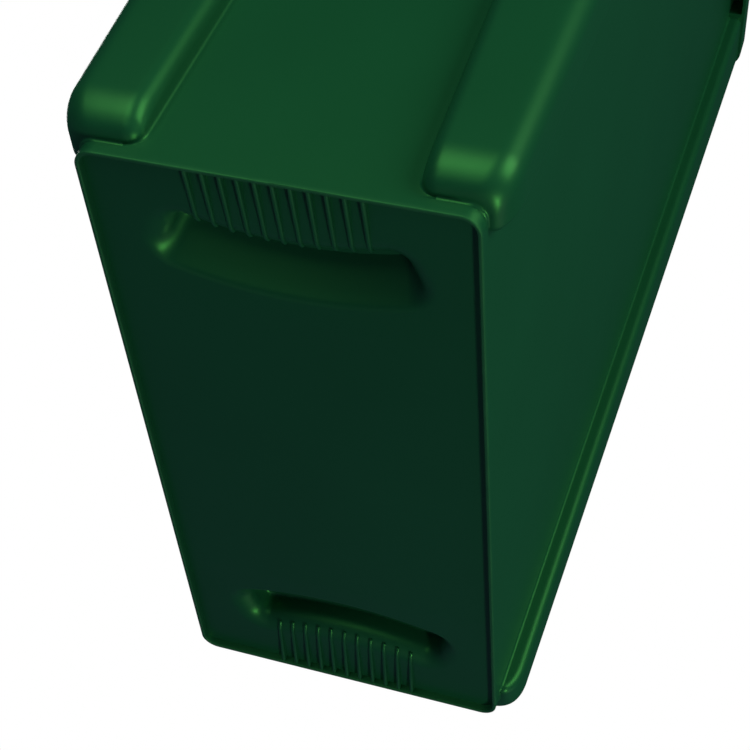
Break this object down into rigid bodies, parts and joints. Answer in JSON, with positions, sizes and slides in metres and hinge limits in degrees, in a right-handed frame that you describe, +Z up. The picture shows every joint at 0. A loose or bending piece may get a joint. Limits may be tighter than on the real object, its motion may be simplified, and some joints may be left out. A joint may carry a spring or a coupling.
{
  "type": "slim recycling container",
  "caption": "Tall, slim open-top recycling container with drafted walls, corner vent channels, recessed base with moulded hand pockets, foot lip, rim and end handles.",
  "frame": {"origin": "centre of the container's footprint, on the plane that its foot lip stands on", "axes": "+Z up, X along the long side with a handle at each end, -Y the wide front side"},
  "size_m": [0.508, 0.279, 0.762],
  "materials": {
    "green_plastic": "smooth glossy moulded polyethylene, dark green all through"
  },
  "bodies": {
    "root": {"base_panel": "green_plastic", "foot_rim": "green_plastic", "front_left_bag_cinch": "green_plastic", "front_left_vent_channel": "green_plastic", "front_right_bag_cinch": "green_plastic", "front_right_vent_channel": "green_plastic", "front_rim": "green_plastic", "front_wall": "green_plastic", "left_end_wall": "green_plastic", "left_grip_pocket": "green_plastic", "left_grip_ribs": "green_plastic", "left_handle": "green_plastic", "rear_left_bag_cinch": "green_plastic", "rear_left_vent_channel": "green_plastic", "rear_right_bag_cinch": "green_plastic", "rear_right_vent_channel": "green_plastic", "rear_rim": "green_plastic", "rear_wall": "green_plastic", "right_end_wall": "green_plastic", "right_grip_pocket": "green_plastic", "right_grip_ribs": "green_plastic", "right_handle": "green_plastic"}
  },
  "joints": []
}
